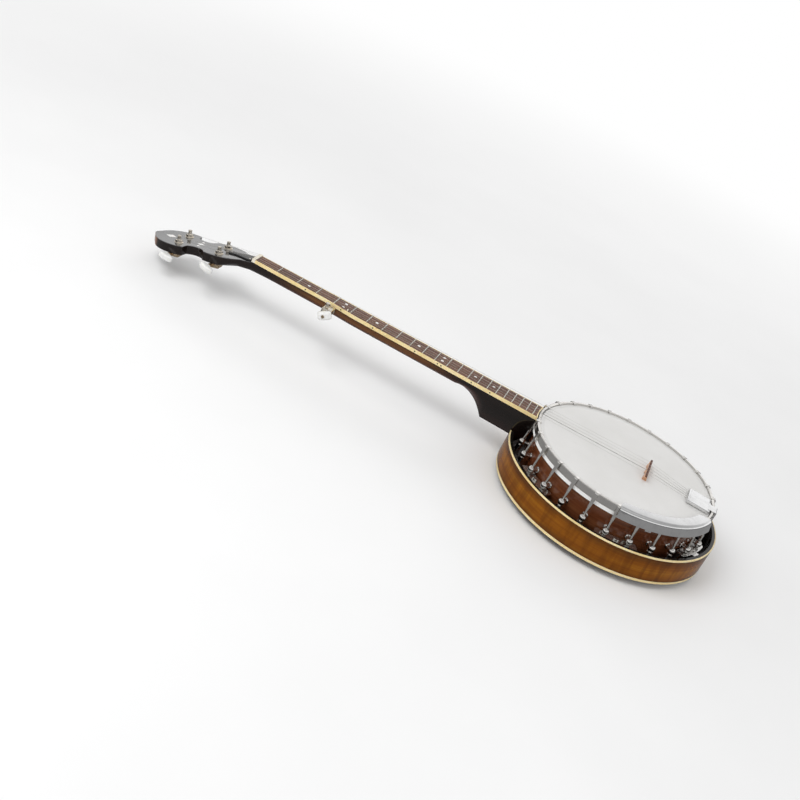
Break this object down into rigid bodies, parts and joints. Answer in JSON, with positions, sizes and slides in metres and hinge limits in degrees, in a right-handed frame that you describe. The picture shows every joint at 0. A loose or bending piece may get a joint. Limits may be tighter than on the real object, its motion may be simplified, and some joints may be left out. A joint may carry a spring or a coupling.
{
  "type": "banjo",
  "caption": "Resonator banjo: round drum-head pot ringed by bracket hooks, fretted neck with a short side string, geared tuners, hinged tailpiece cover and armrest.",
  "frame": {"origin": "on the axis of the round pot, in the plane of the flat part of the resonator's back, which the instrument rests on", "axes": "+Z out of the drum head, towards the player's picking hand; -X along the neck to the headstock; -Y towards the side with the short fifth string"},
  "size_m": [0.9744, 0.343, 0.1045],
  "materials": {
    "neck_wood": "gloss lacquer, dark sunburst stain",
    "headstock_veneer": "black gloss lacquer",
    "fingerboard_wood": "oiled open grain",
    "cream_binding": "polished cream plastic",
    "pearl": "polished shell",
    "dark_dots": "plain",
    "fret_wire": "polished crown",
    "nut_bone": "polished bone colour",
    "rod_steel": "plain machined",
    "adjuster_brass": "machined",
    "cover_plastic": "gloss black with a bevelled edge",
    "screw_nickel": "polished",
    "tuner_nickel": "polished nickel plate",
    "button_pearloid": "pearl-look plastic",
    "rim_wood": "gloss lacquer over laminated wood",
    "tone_metal": "plated casting",
    "head_film": "frosted coating",
    "flesh_metal": "plain",
    "pot_nickel": "polished nickel plate",
    "resonator_veneer": "high gloss sunburst",
    "bridge_maple": "oiled",
    "bridge_ebony": "polished",
    "string_steel": "plain and wound wire",
    "tail_chrome": "polished"
  },
  "bodies": {
    "resonator": {"resonator_bowl": "resonator_veneer", "resonator_back": "resonator_veneer", "resonator_binding": "cream_binding", "resonator_lugs": "pot_nickel"},
    "instrument": {"armrest": "tail_chrome", "armrest_clamps": "tail_chrome", "bracket_hooks": "pot_nickel", "bracket_nuts": "pot_nickel", "bracket_shoes": "pot_nickel", "bridge": "bridge_maple", "bridge_cap": "bridge_ebony", "coordinator_nuts": "rod_steel", "coordinator_rods": "rod_steel", "drum_head": "head_film", "fifth_housing": "tuner_nickel", "fifth_string_nut": "nut_bone", "fingerboard": "fingerboard_wood", "fingerboard_binding": "cream_binding", "flange_plates": "pot_nickel", "flesh_hoop": "flesh_metal", "frets": "fret_wire", "headstock_overlay": "headstock_veneer", "neck": "neck_wood", "neck_lag_bolts": "rod_steel", "nut": "nut_bone", "pearl_markers": "pearl", "rim": "rim_wood", "shoe_bolts": "rod_steel", "side_dots": "dark_dots", "strings": "string_steel", "tailpiece_base": "tail_chrome", "tailpiece_hanger": "tail_chrome", "tailpiece_pins": "tail_chrome", "tension_hoop": "pot_nickel", "tone_hoop": "tone_metal", "truss_cover_screws": "screw_nickel", "truss_rod": "rod_steel", "truss_rod_cover": "cover_plastic", "tuner_bushings": "tuner_nickel", "tuner_housings": "tuner_nickel", "tuner_screws": "screw_nickel", "tuner_washers": "tuner_nickel"},
    "tuner_1_key": {"tuner_worm_1": "tuner_nickel", "tuner_button_1": "button_pearloid"},
    "tuner_1_shaft": {"tuner_post_1": "tuner_nickel"},
    "tuner_2_key": {"tuner_worm_2": "tuner_nickel", "tuner_button_2": "button_pearloid"},
    "tuner_2_shaft": {"tuner_post_2": "tuner_nickel"},
    "tuner_3_key": {"tuner_worm_3": "tuner_nickel", "tuner_button_3": "button_pearloid"},
    "tuner_3_shaft": {"tuner_post_3": "tuner_nickel"},
    "tuner_4_key": {"tuner_worm_4": "tuner_nickel", "tuner_button_4": "button_pearloid"},
    "tuner_4_shaft": {"tuner_post_4": "tuner_nickel"},
    "fifth_key": {"fifth_worm": "tuner_nickel", "fifth_button": "button_pearloid"},
    "fifth_shaft": {"fifth_post": "tuner_nickel"},
    "tailpiece_cover": {"tailpiece_lid": "tail_chrome"},
    "resonator_fixings": {"resonator_screws": "screw_nickel"},
    "truss_adjuster": {"truss_rod_nut": "adjuster_brass"}
  },
  "joints": [
    {"name": "tuner_1_key_turn", "type": "hinge", "parent": "instrument", "child": "tuner_1_key", "pos_m": [-0.69224, -0.0165, 0.04859], "axis": [0, -1, 0], "continuous": true},
    {"name": "tuner_1_shaft_turn", "type": "hinge", "parent": "instrument", "child": "tuner_1_shaft", "pos_m": [-0.69037, -0.0165, 0.06751], "axis": [-0.2426, 0, 0.9701], "continuous": true},
    {"name": "tuner_2_key_turn", "type": "hinge", "parent": "instrument", "child": "tuner_2_key", "pos_m": [-0.75772, -0.0185, 0.03222], "axis": [0, -1, 0], "continuous": true},
    {"name": "tuner_2_shaft_turn", "type": "hinge", "parent": "instrument", "child": "tuner_2_shaft", "pos_m": [-0.75585, -0.0185, 0.05113], "axis": [-0.2426, 0, 0.9701], "continuous": true},
    {"name": "tuner_3_key_turn", "type": "hinge", "parent": "instrument", "child": "tuner_3_key", "pos_m": [-0.69224, 0.0165, 0.04859], "axis": [0, 1, 0], "continuous": true},
    {"name": "tuner_3_shaft_turn", "type": "hinge", "parent": "instrument", "child": "tuner_3_shaft", "pos_m": [-0.69037, 0.0165, 0.06751], "axis": [-0.2426, 0, 0.9701], "continuous": true},
    {"name": "tuner_4_key_turn", "type": "hinge", "parent": "instrument", "child": "tuner_4_key", "pos_m": [-0.75772, 0.0185, 0.03222], "axis": [0, 1, 0], "continuous": true},
    {"name": "tuner_4_shaft_turn", "type": "hinge", "parent": "instrument", "child": "tuner_4_shaft", "pos_m": [-0.75585, 0.0185, 0.05113], "axis": [-0.2426, 0, 0.9701], "continuous": true},
    {"name": "fifth_key_turn", "type": "hinge", "parent": "instrument", "child": "fifth_key", "pos_m": [-0.49356, 0, 0.07954], "axis": [0, -1, 0], "continuous": true},
    {"name": "fifth_shaft_turn", "type": "hinge", "parent": "instrument", "child": "fifth_shaft", "pos_m": [-0.49985, -0.028, 0.07943], "axis": [-0.0182, 0, 0.9998], "continuous": true},
    {"name": "tailpiece_cover_lift", "type": "hinge", "parent": "instrument", "child": "tailpiece_cover", "pos_m": [0.1355, 0, 0.0969], "axis": [0, 1, 0], "range_deg": [0, 75]},
    {"name": "instrument_lift", "type": "slide", "parent": "resonator", "child": "instrument", "axis": [0, 0, 1], "range_m": [0, 0.08]},
    {"name": "resonator_screws_out", "type": "slide", "parent": "instrument", "child": "resonator_fixings", "axis": [0, 0, 1], "range_m": [0, 0.016]},
    {"name": "truss_nut_turn", "type": "hinge", "parent": "instrument", "child": "truss_adjuster", "pos_m": [-0.64546, 0, 0.07298], "axis": [0.9998, 0, 0.0182], "range_deg": [-90, 90]}
  ],
  "couplings": [
    {"joint": "tuner_1_shaft_turn", "follows": "tuner_1_key_turn", "ratio": -0.071429},
    {"joint": "tuner_2_shaft_turn", "follows": "tuner_2_key_turn", "ratio": -0.071429},
    {"joint": "tuner_3_shaft_turn", "follows": "tuner_3_key_turn", "ratio": 0.071429},
    {"joint": "tuner_4_shaft_turn", "follows": "tuner_4_key_turn", "ratio": 0.071429},
    {"joint": "fifth_shaft_turn", "follows": "fifth_key_turn", "ratio": 0.1}
  ]
}
